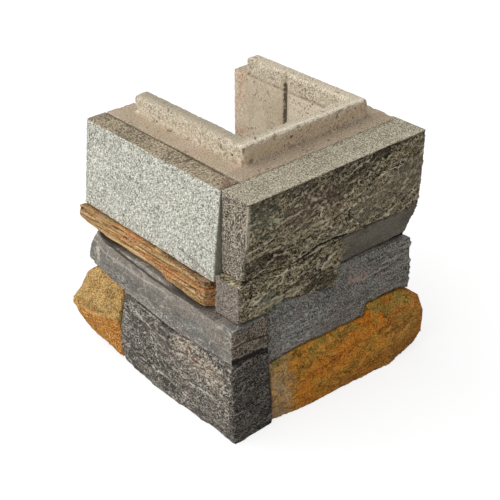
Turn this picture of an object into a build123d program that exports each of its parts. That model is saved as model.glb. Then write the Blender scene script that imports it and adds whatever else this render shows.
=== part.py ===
from build123d import *
import os

# Cast backing: a left leg, a right leg and a return wall, open at the back
backing_width = 168.0
backing_depth = 166.0
course_height = 200.0
wall = 30.0
tongue_height = 16.0
tongue_setback = 17.0
tongue_chamfer = 1.5
groove_from_corner = 100.0
groove_width = 5.0
groove_depth = 3.0

# Open joints between the stones
joint = 1.0

# How far each stone stands out from the backing
light_slab_depth = 19.0
rust_strip_depth = 30.0
grey_slate_depth = 36.0
dark_slate_depth = 39.0
orange_end_depth = 40.0
brown_slab_depth = 30.0
second_strip_depth = 30.0
third_strip_depth = 28.0
orange_bottom_depth = 36.0

# Heights of the course joints at the outer corner
left_high_joint = 124.0
right_high_joint = 132.0
corner_middle_joint = 99.5
corner_low_joint = 68.0
right_low_joint = 52.5

# How far the stones that turn the corner pass it, at their lower and upper edges
brown_slab_return = (20.0, 19.0)
second_strip_return = (27.0, 26.0)
grey_slate_return = (31.0, 30.0)
dark_slate_return = (37.0, 32.0)

# Where the two lowest stones of the left face meet, from the backing's corner
left_bottom_joint_at = 110.0

# How far stones pass the end of their face, or stop short of it, at their lower and upper edges
rust_strip_past = (1.0, 1.5)
grey_slate_past = (-5.0, -14.0)
orange_end_past = (2.0, 2.0)
second_strip_past = (-8.0, 0.0)
third_strip_past = (-1.0, -3.0)
orange_bottom_past = (0.0, 1.0)

# Rise of each course joint along its face: (share of the face, rise from the corner height)
left_high_line = [(0.0, 0.0), (0.45, 1.0), (1.0, 2.0)]
left_middle_line = [(0.0, 0.0), (0.2, 1.5), (0.43, 6.0), (1.0, 6.5)]
left_low_line = [(0.0, 0.0), (0.23, -3.0), (0.43, -6.0), (0.66, 2.5), (1.0, 9.5)]
right_high_line = [(0.0, 0.0), (0.48, 4.0), (0.7, 4.5), (1.0, -1.0)]
right_middle_line = [(0.0, 0.0), (0.03, 4.0), (0.11, 5.0), (0.28, -1.0), (0.42, -5.0),
                     (0.45, 0.0), (0.455, 11.0), (0.68, 9.5), (1.0, 1.5)]
right_low_line = [(0.0, 0.0), (0.17, 1.0), (0.36, -1.0), (0.49, -2.0), (0.66, -5.0),
                  (0.665, 7.0), (0.74, 6.5), (0.92, 3.0), (1.0, -4.0)]
orange_end_underside = [(0.66, 1.0), (0.9, 5.0), (0.96, 13.0), (1.0, 31.0)]
orange_end_top = [(0.66, 0.0), (0.9, -1.0), (0.96, -11.0), (1.0, -30.0)]
flat_line = [(0.0, 0.0), (1.0, 0.0)]

# Rows of each stone's face, as shares of its height from its lower edge
three_rows = (0.0, 0.5, 1.0)
dark_slate_rows = (0.0, 0.25, 0.5, 0.8, 1.0)
orange_end_rows = (0.0, 0.3, 0.62, 1.0)
brown_slab_rows = (0.0, 0.22, 0.45, 0.7, 1.0)
orange_bottom_rows = (0.0, 0.3, 0.75, 1.0)

# Relief of each stone's face: (share of the face, how far each row stands out from the stone's depth)
light_slab_relief = [(0.0, (8.0, 4.0, 0.0)), (0.5, (8.5, 4.5, 0.5)), (1.0, (8.0, 4.0, 0.0))]
rust_strip_relief = [(0.0, (-12.0, -12.0, -11.0)), (0.05, (-1.0, 1.0, 0.5)), (0.5, (-1.0, 1.5, 0.0)),
                     (1.0, (-3.0, 3.0, 2.0))]
grey_slate_relief = [(0.0, (1.0, 1.0, -1.0)), (0.4, (0.0, 0.0, -2.0)), (0.8, (-2.0, -1.0, -4.0)),
                     (1.0, (-9.0, -8.0, -14.0))]
dark_slate_relief = [(-0.22, (1.0, 0.0, 0.0, -1.0, -3.0)), (-0.06, (0.0, 1.0, 1.0, -2.0, -3.0)),
                     (0.05, (1.0, 2.0, 0.0, -2.0, -3.0)), (0.15, (1.0, 1.0, 2.0, -1.0, -1.0)),
                     (0.27, (2.0, 0.0, 2.0, 1.0, 0.0)), (0.36, (2.0, 2.0, 0.0, 0.0, -3.0)),
                     (0.5, (0.0, 2.0, 1.0, -1.0, -4.0)), (0.66, (-3.0, 0.0, -1.0, -4.0, -7.0))]
orange_end_relief = [(0.66, (-3.0, -2.0, -2.0, -9.0)), (0.78, (-4.0, 2.0, 6.0, -9.0)),
                     (0.9, (-3.0, 4.0, 8.0, -9.0)), (0.96, (0.0, 6.0, 7.0, -6.0)),
                     (1.0, (4.0, 7.0, 6.0, -2.0))]
brown_slab_relief = [(-0.1, (-7.0, -6.0, -2.0, -1.0, 0.0)), (0.0, (-6.0, -5.0, 1.0, 0.0, 0.0)),
                     (0.12, (-1.0, 0.0, 2.0, 2.0, 0.0)), (0.25, (1.0, 2.0, 0.0, 3.0, 0.0)),
                     (0.38, (0.0, 3.0, 3.0, -1.0, 0.0)), (0.46, (1.0, 2.0, 2.0, -2.0, 0.0)),
                     (0.58, (0.0, 4.0, 4.0, 2.0, 0.0)), (0.7, (1.0, 4.0, 5.0, -1.0, 0.0)),
                     (0.85, (1.0, 3.0, 5.0, 4.0, 0.0)), (1.0, (-2.0, -1.0, 0.0, 0.0, 0.0))]
second_strip_relief = [(-0.1, (-3.0, -2.0, -4.0)), (0.0, (-1.0, 0.0, -3.0)), (0.2, (1.0, 3.0, 0.0)),
                       (0.42, (0.0, 3.0, 1.0)), (0.47, (-3.0, 0.0, 1.0)), (0.7, (-5.0, -2.0, 0.0)),
                       (1.0, (-9.0, -6.0, -2.0))]
third_strip_relief = [(0.0, (1.0, 2.0, 0.0)), (0.4, (1.0, 2.0, 0.0)), (0.7, (0.0, 1.0, -1.0)),
                      (1.0, (-2.0, -1.0, -2.0))]
orange_bottom_relief = [(0.0, (-3.0, -1.0, -3.0, -6.0)), (0.2, (3.0, 4.0, 0.0, -6.0)),
                        (0.45, (5.0, 7.0, 3.0, -6.0)), (0.75, (9.0, 9.0, 6.0, -7.0)),
                        (0.9, (4.0, 8.0, 7.0, -7.0)), (1.0, (1.0, 7.0, 7.0, 0.0))]


def height_on(line, share):
    """Height of a broken line at a share of the face's length."""
    if share <= line[0][0]:
        return line[0][1]
    for (start, low), (end, high) in zip(line, line[1:]):
        if share <= end:
            return low + (high - low) * (share - start) / (end - start)
    return line[-1][1]


def relief_on(relief, share):
    """Relief of every row at a share of the face's length."""
    row_count = len(relief[0][1])
    return [height_on([(at, rows[row]) for at, rows in relief], share) for row in range(row_count)]


def on_left_face(along, up, out):
    """A point on the left face, which looks along -X."""
    return (-out, along, up)


def on_right_face(along, up, out):
    """A point on the right face, which looks along -Y."""
    return (along, -out, up)


def flat_face(points):
    return Face(Wire.make_polygon(points, close=True))


def faceted_solid(place, row_shares, columns):
    """Closed stone with a flat back: columns hold both ends' places and the depth of every row."""
    front = []
    for low_along, high_along, low, high, depths in columns:
        front.append([
            place(low_along + (high_along - low_along) * share, low + (high - low) * share, depth)
            for share, depth in zip(row_shares, depths)
        ])
    back_low = [place(column[0], column[2], 0.0) for column in columns]
    back_high = [place(column[1], column[3], 0.0) for column in columns]
    faces = [flat_face(back_low + back_high[::-1])]
    for index in (0, -1):
        faces.append(flat_face([back_low[index]] + front[index] + [back_high[index]]))
    for here in range(len(columns) - 1):
        there = here + 1
        faces.append(flat_face([back_low[here], back_low[there], front[there][0], front[here][0]]))
        faces.append(flat_face([back_high[here], back_high[there], front[there][-1], front[here][-1]]))
        for row in range(len(row_shares) - 1):
            near_low, near_high = front[here][row], front[here][row + 1]
            far_low, far_high = front[there][row], front[there][row + 1]
            faces.append(flat_face([near_low, far_low, far_high]))
            faces.append(flat_face([near_low, far_high, near_high]))
    return Solid(Shell(faces))


def stone(place, face_length, lower, upper, start, end, depth, row_shares, relief):
    """One stone between two joint lines; start and end give its lower and upper ends along the face."""
    low_base, low_line = lower
    high_base, high_line = upper
    first = max(start) / face_length
    last = min(end) / face_length
    breaks = {share for share, rise in low_line + high_line}
    breaks |= {share for share, rows in relief}
    if first < 0.0:
        breaks.add(0.0)
    margin = joint / face_length
    middle = sorted(share for share in breaks if first + margin < share < last - margin)
    columns = []
    ends = [(start, first)] + [((share * face_length,) * 2, share) for share in middle] + [(end, last)]
    for (low_along, high_along), share in ends:
        low = low_base + height_on(low_line, share)
        high = high_base + height_on(high_line, share)
        depths = [depth + rise for rise in relief_on(relief, share)]
        columns.append((low_along, high_along, low, high, depths))
    return faceted_solid(place, row_shares, columns)


def above(joint_height, line):
    """The edge of the stone that lies above a joint."""
    return (joint_height + joint / 2, line)


def below(joint_height, line):
    """The edge of the stone that lies below a joint."""
    return (joint_height - joint / 2, line)


def past_end(face_length, past):
    """Where a stone ends along its face, at its lower and upper edges."""
    return (face_length + past[0], face_length + past[1])


def wall_outline(setback):
    """Plan of the three walls, from their inner faces out to a setback from every outer edge and free end."""
    inside_left = wall
    inside_right = backing_width - wall
    outside_right = backing_width - setback
    open_end = backing_depth - setback
    return [
        (setback, setback), (outside_right, setback), (outside_right, open_end), (inside_right, open_end),
        (inside_right, wall), (inside_left, wall), (inside_left, open_end), (setback, open_end),
    ]


def walls(setback, bottom, height):
    plan = Pos(0, 0, bottom) * make_face(Polyline(wall_outline(setback), close=True))
    return extrude(plan, amount=height)


def concrete_backing():
    """Walls with a raised tongue round the top, and one upright groove in the return wall's inner face."""
    body = walls(0.0, 0.0, course_height)
    tongue = walls(tongue_setback, course_height, tongue_height)
    tongue = chamfer(tongue.edges().group_by(Axis.Z)[-1], tongue_chamfer)
    groove_half = groove_width / 2
    groove_plan = make_face(Polyline(
        (backing_width - wall, groove_from_corner - groove_half),
        (backing_width - wall + groove_depth, groove_from_corner),
        (backing_width - wall, groove_from_corner + groove_half),
        close=True,
    ))
    groove = extrude(groove_plan, amount=course_height + tongue_height)
    return (body + tongue - groove).solid()


def light_slab():
    return stone(
        on_left_face, backing_depth, above(left_high_joint, left_high_line), (course_height, flat_line),
        (joint, joint), (backing_depth, backing_depth), light_slab_depth, three_rows, light_slab_relief,
    )


def rust_strip():
    return stone(
        on_left_face, backing_depth, above(corner_middle_joint, left_middle_line),
        below(left_high_joint, left_high_line),
        (joint, joint), past_end(backing_depth, rust_strip_past), rust_strip_depth,
        three_rows, rust_strip_relief,
    )


def grey_slate_strip():
    return stone(
        on_left_face, backing_depth, above(corner_low_joint, left_low_line),
        below(corner_middle_joint, left_middle_line),
        (-grey_slate_return[0], -grey_slate_return[1]), past_end(backing_depth, grey_slate_past),
        grey_slate_depth, three_rows, grey_slate_relief,
    )


def dark_slate_strip():
    meeting = left_bottom_joint_at - joint / 2
    return stone(
        on_left_face, backing_depth, (0.0, flat_line), below(corner_low_joint, left_low_line),
        (-dark_slate_return[0], -dark_slate_return[1]), (meeting, meeting), dark_slate_depth,
        dark_slate_rows, dark_slate_relief,
    )


def orange_end_block():
    meeting = left_bottom_joint_at + joint / 2
    top_line = [(share, drop + height_on(left_low_line, share)) for share, drop in orange_end_top]
    return stone(
        on_left_face, backing_depth, (joint, orange_end_underside), below(corner_low_joint, top_line),
        (meeting, meeting), past_end(backing_depth, orange_end_past), orange_end_depth,
        orange_end_rows, orange_end_relief,
    )


def brown_split_slab():
    return stone(
        on_right_face, backing_width, above(right_high_joint, right_high_line), (course_height, flat_line),
        (-brown_slab_return[0], -brown_slab_return[1]), (backing_width, backing_width), brown_slab_depth,
        brown_slab_rows, brown_slab_relief,
    )


def second_course_strip():
    return stone(
        on_right_face, backing_width, above(corner_middle_joint, right_middle_line),
        below(right_high_joint, right_high_line),
        (-second_strip_return[0], -second_strip_return[1]), past_end(backing_width, second_strip_past),
        second_strip_depth, three_rows, second_strip_relief,
    )


def third_course_strip():
    return stone(
        on_right_face, backing_width, above(right_low_joint, right_low_line),
        below(corner_middle_joint, right_middle_line),
        (joint, joint), past_end(backing_width, third_strip_past), third_strip_depth,
        three_rows, third_strip_relief,
    )


def orange_bottom_stone():
    return stone(
        on_right_face, backing_width, (0.0, flat_line), below(right_low_joint, right_low_line),
        (joint, joint), past_end(backing_width, orange_bottom_past), orange_bottom_depth,
        orange_bottom_rows, orange_bottom_relief,
    )


pieces = {
    "concrete_backing": concrete_backing(),
    "light_slab": light_slab(),
    "rust_strip": rust_strip(),
    "grey_slate_strip": grey_slate_strip(),
    "orange_end_block": orange_end_block(),
    "dark_slate_strip": dark_slate_strip(),
    "brown_split_slab": brown_split_slab(),
    "second_course_strip": second_course_strip(),
    "third_course_strip": third_course_strip(),
    "orange_bottom_stone": orange_bottom_stone(),
}

# The origin is under the middle of the whole block, at floor height
whole = Compound(list(pieces.values())).bounding_box()
to_origin = Pos(-(whole.min.X + whole.max.X) / 2, -(whole.min.Y + whole.max.Y) / 2, -whole.min.Z)

os.makedirs("parts", exist_ok=True)
for name, shape in pieces.items():
    export_step(to_origin * shape, f"parts/{name}.step")
print("moved by", to_origin.position)
print("size", whole.size)
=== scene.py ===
import math

import bpy
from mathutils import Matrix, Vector


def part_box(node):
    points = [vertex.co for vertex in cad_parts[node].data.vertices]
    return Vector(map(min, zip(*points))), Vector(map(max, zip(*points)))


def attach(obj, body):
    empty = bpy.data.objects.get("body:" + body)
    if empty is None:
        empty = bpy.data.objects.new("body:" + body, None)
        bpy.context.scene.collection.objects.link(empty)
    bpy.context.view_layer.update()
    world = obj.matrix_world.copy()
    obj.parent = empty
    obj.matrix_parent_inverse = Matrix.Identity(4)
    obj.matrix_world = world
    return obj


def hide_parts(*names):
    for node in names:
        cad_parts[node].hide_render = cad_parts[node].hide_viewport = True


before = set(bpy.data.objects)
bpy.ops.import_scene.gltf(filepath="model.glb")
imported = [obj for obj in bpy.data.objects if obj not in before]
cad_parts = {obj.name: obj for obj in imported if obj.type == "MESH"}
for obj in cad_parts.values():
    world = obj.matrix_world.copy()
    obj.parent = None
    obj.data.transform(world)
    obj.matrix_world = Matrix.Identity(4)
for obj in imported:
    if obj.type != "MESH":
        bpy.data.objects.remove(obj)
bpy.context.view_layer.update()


# Concrete backing
# One casting of pale sandy concrete, poured in a mould: two legs and a return wall, open at the back.
# A raised tongue round its top keys into the block above. Sand grains and air holes show on every face.

def to_linear(colour):
    """The linear colour of an sRGB hex value."""
    parts = [int(colour[place:place + 2], 16) / 255 for place in (1, 3, 5)]
    return [part / 12.92 if part <= 0.04045 else ((part + 0.055) / 1.055) ** 2.4 for part in parts] + [1.0]


def add_node(tree, kind, links=None, **settings):
    """Adds a node; links maps an input's name or number to a value or to another node's output."""
    node = tree.nodes.new(kind)
    for setting, value in settings.items():
        setattr(node, setting, value)
    for place, value in (links or {}).items():
        socket = node.inputs[place]
        if isinstance(value, bpy.types.NodeSocket):
            tree.links.new(value, socket)
        else:
            socket.default_value = value
    return node


def pick(piece):
    """Makes a piece the only selected one."""
    bpy.ops.object.select_all(action="DESELECT")
    piece.select_set(True)
    bpy.context.view_layer.objects.active = piece


def apply_modifiers(piece):
    pick(piece)
    for modifier in list(piece.modifiers):
        bpy.ops.object.modifier_apply(modifier=modifier.name)


def rough_blank(node, name, grain_mm):
    """A copy of the node's solid with its triangles merged, cut up into even faces one grain wide."""
    weld_gap = 0.00001
    piece = bpy.data.objects.new(name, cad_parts[node].data.copy())
    piece.data.materials.clear()
    bpy.context.collection.objects.link(piece)
    pick(piece)
    bpy.ops.object.mode_set(mode="EDIT")
    bpy.ops.mesh.select_all(action="SELECT")
    bpy.ops.mesh.remove_doubles(threshold=weld_gap)
    bpy.ops.object.mode_set(mode="OBJECT")
    cut_up = piece.modifiers.new("cut_up", "REMESH")
    cut_up.mode = "VOXEL"
    cut_up.voxel_size = grain_mm / 1000
    apply_modifiers(piece)
    bpy.ops.object.shade_smooth()
    return piece


def ramp(tree, value, low, high, start=0.0, end=1.0):
    """From start, where the value is at low, to end, where it is at high."""
    return add_node(tree, "ShaderNodeMapRange", {0: value, 1: low, 2: high, 3: start, 4: end}).outputs[0]


def both(tree, one, other):
    """The share that two patterns have in common."""
    return add_node(tree, "ShaderNodeMath", {0: one, 1: other}, operation="MULTIPLY").outputs[0]


def scaled_place(tree, place, size_mm, shift):
    """Coordinates in which one unit is size_mm long, moved by shift units so that patterns differ."""
    scale = [1000.0 / part for part in size_mm]
    return add_node(tree, "ShaderNodeVectorMath", {0: place, 1: scale, 2: (shift, shift * 1.7, shift * 0.6)},
                    operation="MULTIPLY_ADD").outputs[0]


def noise(tree, place, size_mm, detail=3.0, shift=0.0, ragged=0.5):
    """Cloudy noise, mostly between 0.3 and 0.7, with clouds about size_mm across in X, Y and Z."""
    place = scaled_place(tree, place, size_mm, shift)
    return add_node(tree, "ShaderNodeTexNoise", {"Vector": place, "Scale": 1.0, "Detail": detail,
                                                 "Roughness": ragged})


def patches(tree, place, size_mm, low, high, detail=3.0, shift=0.0, ragged=0.5):
    """Patches where the noise is over high; low over high turns them round."""
    return ramp(tree, noise(tree, place, size_mm, detail, shift, ragged).outputs[0], low, high)


def wander(tree, cloud, reach_mm):
    """Noise spread out between -reach_mm and reach_mm."""
    low, high = 0.25, 0.75
    return ramp(tree, cloud, low, high, -reach_mm / 1000, reach_mm / 1000)


def stretch(tree, place, axis, start_mm, end_mm, ragged_mm=0.0):
    """0 before start_mm along an axis and 1 past end_mm, with a ragged border."""
    value = add_node(tree, "ShaderNodeSeparateXYZ", {0: place}).outputs[axis]
    if ragged_mm:
        cloud = noise(tree, place, [ragged_mm * 2] * 3, 4.0, start_mm).outputs[0]
        value = add_node(tree, "ShaderNodeMath", {0: value, 1: wander(tree, cloud, ragged_mm)},
                         operation="ADD").outputs[0]
    return ramp(tree, value, start_mm / 1000, end_mm / 1000)


def pits(tree, place, spacing_mm, width_mm, share, shift=0.0):
    """Small round holes of one width, in a share of the places spacing_mm apart."""
    place = scaled_place(tree, place, [spacing_mm] * 3, shift)
    cells = add_node(tree, "ShaderNodeTexVoronoi", {"Vector": place, "Scale": 1.0})
    reach = width_mm / spacing_mm / 2
    hole = ramp(tree, cells.outputs["Distance"], reach * 1.2, reach * 0.7)
    chosen = add_node(tree, "ShaderNodeSeparateXYZ", {0: cells.outputs["Color"]}).outputs[0]
    return both(tree, hole, ramp(tree, chosen, share + 0.01, share))


def along(tree, place, points_mm, reach_mm, ragged=0.5, across=None):
    """1 near the line through the points, up to reach_mm from it; across is an axis that doesn't count."""
    keep = Vector([0.0 if axis == across else 1.0 for axis in range(3)])
    points = [Vector(point) * keep / 1000 for point in points_mm]
    seen = add_node(tree, "ShaderNodeVectorMath", {0: place, 1: keep}, operation="MULTIPLY").outputs[0]
    nearest = 1.0
    for start, end in zip(points, points[1:]):
        line = end - start
        from_start = add_node(tree, "ShaderNodeVectorMath", {0: seen, 1: start}, operation="SUBTRACT")
        from_start = from_start.outputs[0]
        share = add_node(tree, "ShaderNodeVectorMath", {0: from_start, 1: line / line.length_squared},
                         operation="DOT_PRODUCT").outputs["Value"]
        foot = add_node(tree, "ShaderNodeVectorMath", {0: line, "Scale": ramp(tree, share, 0.0, 1.0)},
                        operation="SCALE").outputs[0]
        away = add_node(tree, "ShaderNodeVectorMath", {0: from_start, 1: foot}, operation="DISTANCE")
        nearest = add_node(tree, "ShaderNodeMath", {0: away.outputs["Value"], 1: nearest},
                           operation="MINIMUM").outputs[0]
    cloud = noise(tree, place, [reach_mm * 0.8] * 3, 5.0, reach_mm, 0.6).outputs[0]
    nearest = add_node(tree, "ShaderNodeMath", {0: nearest, 1: wander(tree, cloud, ragged * reach_mm)},
                       operation="ADD").outputs[0]
    return ramp(tree, nearest, reach_mm * 0.0011, reach_mm * 0.0008)


def start_relief(piece):
    """Opens a relief; returns its tree, the place of each point, and a pattern that is 1 at the edges."""
    blur_steps = 5
    flat, sharp = 0.97, 0.82
    tree = bpy.data.node_groups.new(piece.name + "_relief", "GeometryNodeTree")
    tree.interface.new_socket("Geometry", in_out="INPUT", socket_type="NodeSocketGeometry")
    tree.interface.new_socket("Geometry", in_out="OUTPUT", socket_type="NodeSocketGeometry")
    normal = add_node(tree, "GeometryNodeInputNormal").outputs[0]
    around = add_node(tree, "GeometryNodeBlurAttribute", {"Iterations": blur_steps}, data_type="FLOAT_VECTOR")
    tree.links.new(normal, [socket for socket in around.inputs if socket.enabled][0])
    evenness = add_node(tree, "ShaderNodeVectorMath",
                        {0: [socket for socket in around.outputs if socket.enabled][0]}, operation="LENGTH")
    edge = ramp(tree, evenness.outputs["Value"], flat, sharp)
    return tree, add_node(tree, "GeometryNodeInputPosition").outputs[0], edge


def carve(piece, node, tree, place, edge, cuts, share, placed=()):
    """Works relief in, within the node's box; a cut is a height in mm, or a depth under 0, and a pattern.

    The heights of cuts are evened out over the piece's own face; those of placed ones are added to it.
    """
    normal = add_node(tree, "GeometryNodeInputNormal").outputs[0]
    mean_share = 0.6
    blur_steps = 8
    middle_mm = -mean_share * sum(depth_mm for depth_mm, pattern in cuts if depth_mm > 0)
    height = middle_mm / 1000
    for depth_mm, pattern in list(cuts) + list(placed):
        height = add_node(tree, "ShaderNodeMath", {0: pattern, 1: depth_mm / 1000, 2: height},
                          operation="MULTIPLY_ADD").outputs[0]
    height = both(tree, height, share)
    move = add_node(tree, "ShaderNodeVectorMath", {0: normal, "Scale": height}, operation="SCALE").outputs[0]
    moved = add_node(tree, "ShaderNodeVectorMath", {0: place, 1: move}, operation="ADD").outputs[0]
    low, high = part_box(node)
    moved = add_node(tree, "ShaderNodeVectorMath", {0: moved, 1: low}, operation="MAXIMUM").outputs[0]
    moved = add_node(tree, "ShaderNodeVectorMath", {0: moved, 1: high}, operation="MINIMUM").outputs[0]
    around = add_node(tree, "GeometryNodeBlurAttribute", {"Value": height, "Iterations": blur_steps},
                      data_type="FLOAT").outputs[0]
    crest = add_node(tree, "ShaderNodeMath", {0: height, 1: around}, operation="SUBTRACT").outputs[0]
    crest = both(tree, crest, 1000.0)
    shaped = add_node(tree, "NodeGroupInput")
    for name, value in (("crest_mm", crest), ("edge", edge)):
        shaped = add_node(tree, "GeometryNodeStoreNamedAttribute",
                          {"Geometry": shaped.outputs[0], "Name": name, "Value": value},
                          data_type="FLOAT", domain="POINT")
    shaped = add_node(tree, "GeometryNodeSetPosition", {"Geometry": shaped.outputs[0], "Position": moved})
    add_node(tree, "NodeGroupOutput", {0: shaped.outputs[0]})
    relief = piece.modifiers.new("relief", "NODES")
    relief.node_group = tree
    apply_modifiers(piece)
    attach(piece, "root")
    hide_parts(node)


def stored(tree, name):
    """A pattern that the relief left on the piece: crest_mm or edge."""
    return add_node(tree, "ShaderNodeAttribute", attribute_name=name).outputs["Fac"]


def start_finish(name):
    """Opens a material; returns it, its tree, the object's own coordinates, and its crests in mm."""
    material = bpy.data.materials.new(name)
    material.use_nodes = True
    tree = material.node_tree
    tree.nodes.clear()
    return material, tree, add_node(tree, "ShaderNodeTexCoord").outputs["Object"], stored(tree, "crest_mm")


def coat(tree, under, colour, pattern, strength=1.0):
    """Lays a colour over another one where the pattern is 1."""
    mix = add_node(tree, "ShaderNodeMix", {"Factor": both(tree, pattern, strength)}, data_type="RGBA")
    under_input, colour_input = 6, 7
    for number, value in ((under_input, under), (colour_input, colour)):
        value = to_linear(value) if isinstance(value, str) else value
        if isinstance(value, bpy.types.NodeSocket):
            tree.links.new(value, mix.inputs[number])
        else:
            mix.inputs[number].default_value = value
    return mix.outputs[2]


def coats(tree, under, layers):
    """Lays coats in turn, the undermost first: each is a colour, its pattern and its strength."""
    for colour, pattern, strength in layers:
        under = coat(tree, under, colour, pattern, strength)
    return under


def speckle(tree, place, under, dark, light, size_mm, strength, shift=0.0):
    """Dark and light grains about size_mm across, coarser than the real ones, which wouldn't show."""
    middle, start, full = 0.5, 0.03, 0.09
    grains = noise(tree, place, [size_mm] * 3, 2.0, shift).outputs[0]
    under = coat(tree, under, dark, ramp(tree, grains, middle - start, middle - full), strength)
    return coat(tree, under, light, ramp(tree, grains, middle + start, middle + full), strength)


def finish_material(piece, material, tree, place, colour, grain_mm, depth_mm, roughness):
    """Closes a dull material with a grain in its surface, drawn as coarse as it has to be to show."""
    dull = 0.3
    grain = noise(tree, place, [grain_mm] * 3, detail=5.0, shift=2.0, ragged=0.65).outputs[0]
    bump = add_node(tree, "ShaderNodeBump", {"Height": grain, "Distance": depth_mm / 1000, "Strength": 1.0})
    shader = add_node(tree, "ShaderNodeBsdfPrincipled", {"Base Color": colour, "Roughness": roughness,
                                                         "Specular IOR Level": dull,
                                                         "Normal": bump.outputs[0]})
    add_node(tree, "ShaderNodeOutputMaterial", {0: shader.outputs[0]})
    piece.data.materials.append(material)


X, Y, Z = range(3)
backing = rough_blank("concrete_backing", "backing_cast", grain_mm=1.6)
bed_mm = 200
tongue_top_mm = 216
tree, place, edge = start_relief(backing)
on_tongue = stretch(tree, place, Z, bed_mm - 1, bed_mm + 1)
carve(backing, "concrete_backing", tree, place, edge, [
    (0.4, patches(tree, place, (12, 12, 12), 0.3, 0.7)),
    (0.4, patches(tree, place, (3.5, 3.5, 3.5), 0.3, 0.7, detail=4)),
    (-1.4, pits(tree, place, 9, 3.0, 0.3)),
    (-1.6, both(tree, edge, patches(tree, place, (6, 6, 6), 0.5, 0.66, detail=4))),
], ramp(tree, on_tongue, 0.0, 1.0, 0.4, 0.8))

# Cast concrete: dull and chalky, with pale sand grains on the tongue and dark air holes all over.
concrete, tree, place, crest = start_finish("sandy_cast_concrete")
on_tongue = stretch(tree, place, Z, bed_mm + 1, bed_mm + 4)
on_bed = both(tree, stretch(tree, place, Z, bed_mm - 1.5, bed_mm - 0.5),
              stretch(tree, place, Z, bed_mm + 3, bed_mm + 1))
# The bed beside the right-hand tongue is painted darker: painted shade from the tongue.
painted_shade_right_bed = both(tree, on_bed, stretch(tree, place, Y, -42, -45))
inner_half = both(tree, stretch(tree, place, X, -39, -37, 1), stretch(tree, place, Y, -36, -30, 1))
inner_half = both(tree, inner_half, stretch(tree, place, X, 0, -10))
smooth_crown = both(tree, stretch(tree, place, Z, tongue_top_mm - 1.6, tongue_top_mm - 1), inner_half)
shaded_side = both(tree, both(tree, on_tongue, stretch(tree, place, Y, -42.6, -43.6)),
                   stretch(tree, place, Z, tongue_top_mm - 1, tongue_top_mm - 3))
wall_end = stretch(tree, place, Y, 88, 98, 8)
wall_inside = both(tree, stretch(tree, place, X, 70, 76), stretch(tree, place, X, 90, 84))
lit_part = both(tree, wall_inside, stretch(tree, place, Y, 37, 33))
bed_colour = coats(tree, "#b8a48d", [
    ("#ab9a7e", patches(tree, place, (16, 16, 16), 0.45, 0.6), 1.0),
    ("#c09a85", patches(tree, place, (12, 12, 12), 0.55, 0.66, shift=4), 0.6),
    ("#99866f", painted_shade_right_bed, 0.75),
])
bed_colour = speckle(tree, place, bed_colour, "#7b6a55", "#d6c6ae", 1.0, 0.6, shift=5)
on_crown = stretch(tree, place, Z, tongue_top_mm - 2, tongue_top_mm - 1)
right_crown = both(tree, stretch(tree, place, Y, -38, -41, 1), on_crown)
colour = coats(tree, "#d8cab3", [
    ("#c8b79e", patches(tree, place, (30, 30, 30), 0.42, 0.62), 1.0),
    ("#c0ae92", patches(tree, place, (9, 9, 14), 0.56, 0.7, shift=3), 0.5),
    ("#c59b7c", both(tree, wall_end, patches(tree, place, (7, 7, 12), 0.42, 0.56)), 0.7),
    ("#eadfca", lit_part, 0.7),
    (bed_colour, on_bed, 0.95),
    ("#c9bca5", on_tongue, 0.8),
    ("#efe2cb", right_crown, 0.85),
    ("#aca390", smooth_crown, 0.8),
    ("#dfc7a8", shaded_side, 0.9),
])
sandy = ramp(tree, wall_end, 0.0, 1.0, 0.0, 0.5)
sandy = add_node(tree, "ShaderNodeMath", {0: on_tongue, 1: sandy}, operation="MAXIMUM").outputs[0]
sandy = both(tree, sandy, ramp(tree, smooth_crown, 0.0, 1.0, 1.0, 0.45))
sandy = both(tree, sandy, ramp(tree, shaded_side, 0.0, 1.0, 1.0, 0.35))
colour = speckle(tree, place, colour, "#8a7a62", "#f4ebd9", 1.0, ramp(tree, sandy, 0.0, 1.0, 0.25, 0.65))
groove = ((77.5, 38.5, 0), (77.5, 38.5, 205))
dirty = patches(tree, place, (22, 22, 22), 0.5, 0.6, shift=8)
specks = patches(tree, place, (2.2, 2.2, 2.6), 0.58, 0.63)
left_crown = both(tree, both(tree, stretch(tree, place, Y, -38, -34, 1), on_crown),
                  stretch(tree, place, X, 30, 20))
colour = coats(tree, colour, [
    ("#54442f", both(tree, dirty, specks), 0.8),
    ("#9a8f79", left_crown, 0.35),
    ("#3f3324", pits(tree, place, 9, 2.4, 0.22, shift=2), 0.9),
    # Painted shade in the hollows of the relief and painted highlight on its crests.
    ("#877660", ramp(tree, crest, -0.1, -0.5), 0.7),
    ("#efe5d2", ramp(tree, crest, 0.08, 0.3), 0.5),
    # Painted shade down the groove: a darker band with a near-black core.
    ("#c3b49c", along(tree, place, groove, 5.2, 0.3), 0.5),
    ("#3f3525", along(tree, place, groove, 2.4, 0.5), 0.85),
])
finish_material(backing, concrete, tree, place, colour, grain_mm=1.6, depth_mm=0.6, roughness=0.95)


# Light slab
# The pale grey quartzite slab at the top of the left face, sawn along its top and cleft on its face.
# Its salt-and-pepper grain is a millimetre or two across, and it leans out towards its lower edge.

def facing(tree, ways_out, side_share):
    """1 on faces that look along one of the ways out, and side_share on those that look across them."""
    turned_away, turned_out = 0.2, 0.8
    normal = add_node(tree, "GeometryNodeInputNormal").outputs[0]
    most = side_share
    for out in ways_out:
        match = add_node(tree, "ShaderNodeVectorMath", {0: normal, 1: out}, operation="DOT_PRODUCT")
        share = ramp(tree, match.outputs["Value"], turned_away, turned_out, side_share, 1.0)
        most = add_node(tree, "ShaderNodeMath", {0: share, 1: most}, operation="MAXIMUM").outputs[0]
    return most


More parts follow.
